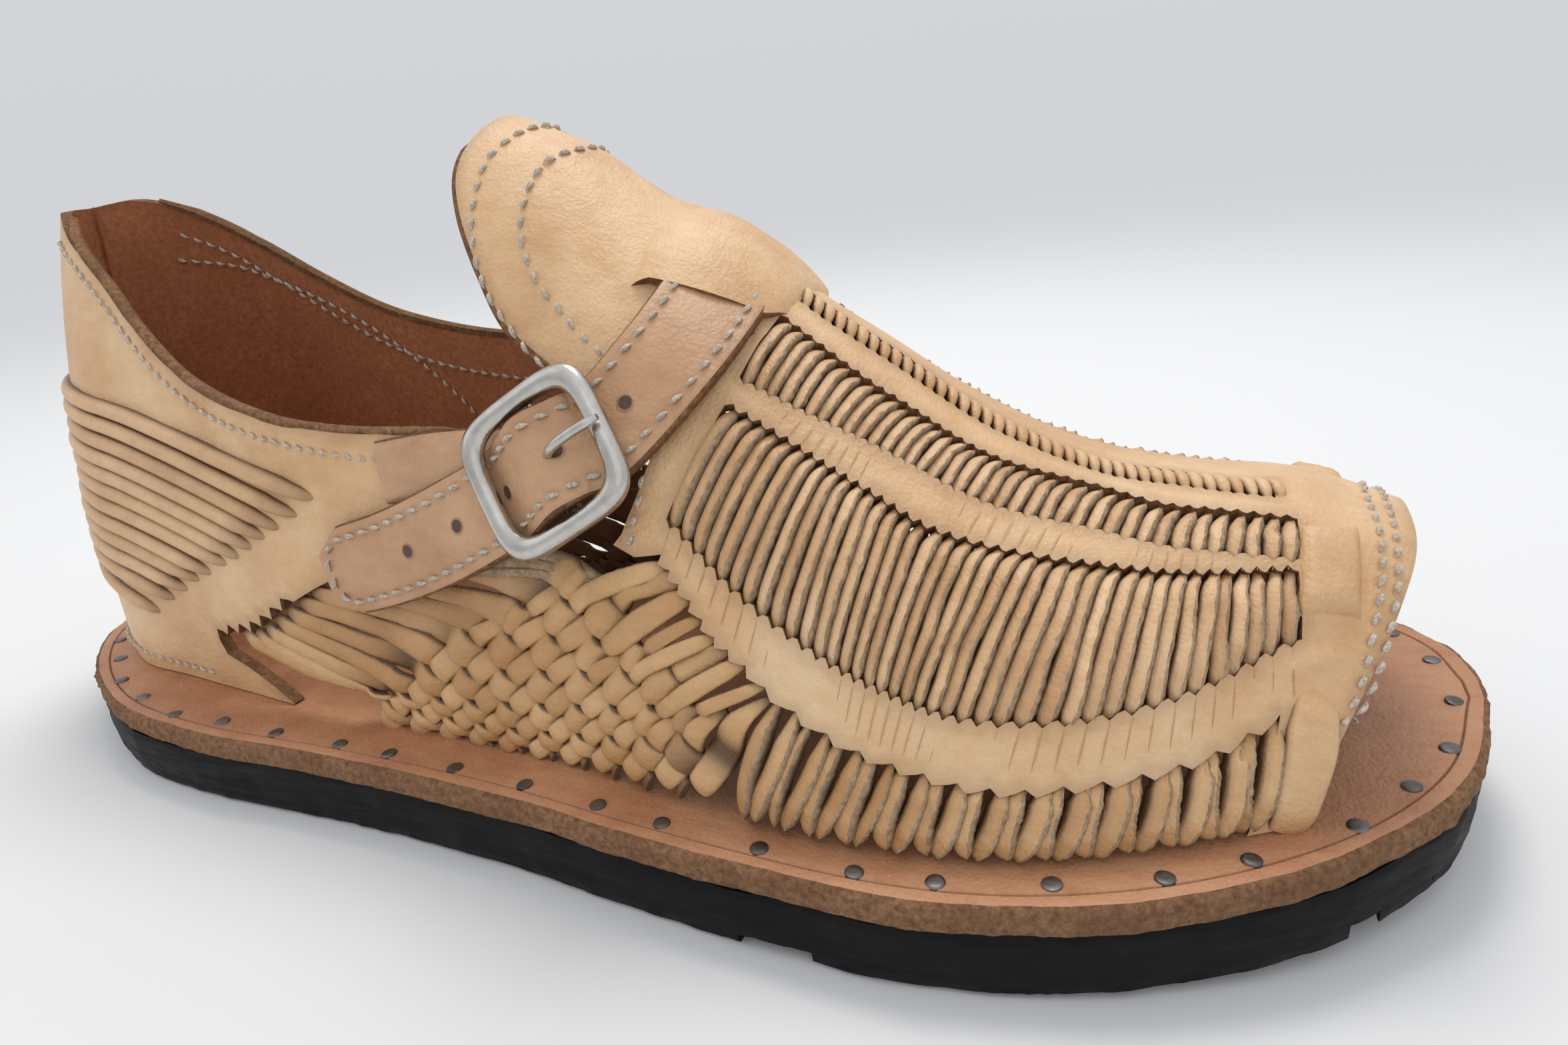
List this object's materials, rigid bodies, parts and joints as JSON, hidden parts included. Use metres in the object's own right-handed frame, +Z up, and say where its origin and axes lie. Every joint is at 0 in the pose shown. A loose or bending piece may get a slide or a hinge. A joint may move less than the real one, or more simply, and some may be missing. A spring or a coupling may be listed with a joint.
{
  "type": "huarache sandal",
  "caption": "Right-foot woven leather huarache sandal with open toe, long tongue, buckled instep strap and a flat tyre-rubber sole.",
  "frame": {"origin": "floor level, under the middle of the sole's length and width", "axes": "+X from heel to toe, +Y toward the inner side of the foot, +Z up from the floor"},
  "size_m": [0.2994, 0.1112, 0.1211],
  "materials": {
    "outsole": "matt cut tyre rubber",
    "footbed": "natural sole leather",
    "upper": "natural vegetable-tanned leather",
    "tongue_lining": "natural leather, flesh side",
    "instep_strap": "natural vegetable-tanned leather",
    "buckle_chape": "natural vegetable-tanned leather",
    "buckle_frame": "satin nickel plate",
    "buckle_prong": "satin nickel plate"
  },
  "bodies": {
    "root": {"outsole": "outsole", "footbed": "footbed", "upper": "upper", "tongue_lining": "tongue_lining", "instep_strap": "instep_strap", "buckle_chape": "buckle_chape", "buckle_frame": "buckle_frame", "buckle_prong": "buckle_prong"}
  },
  "joints": []
}
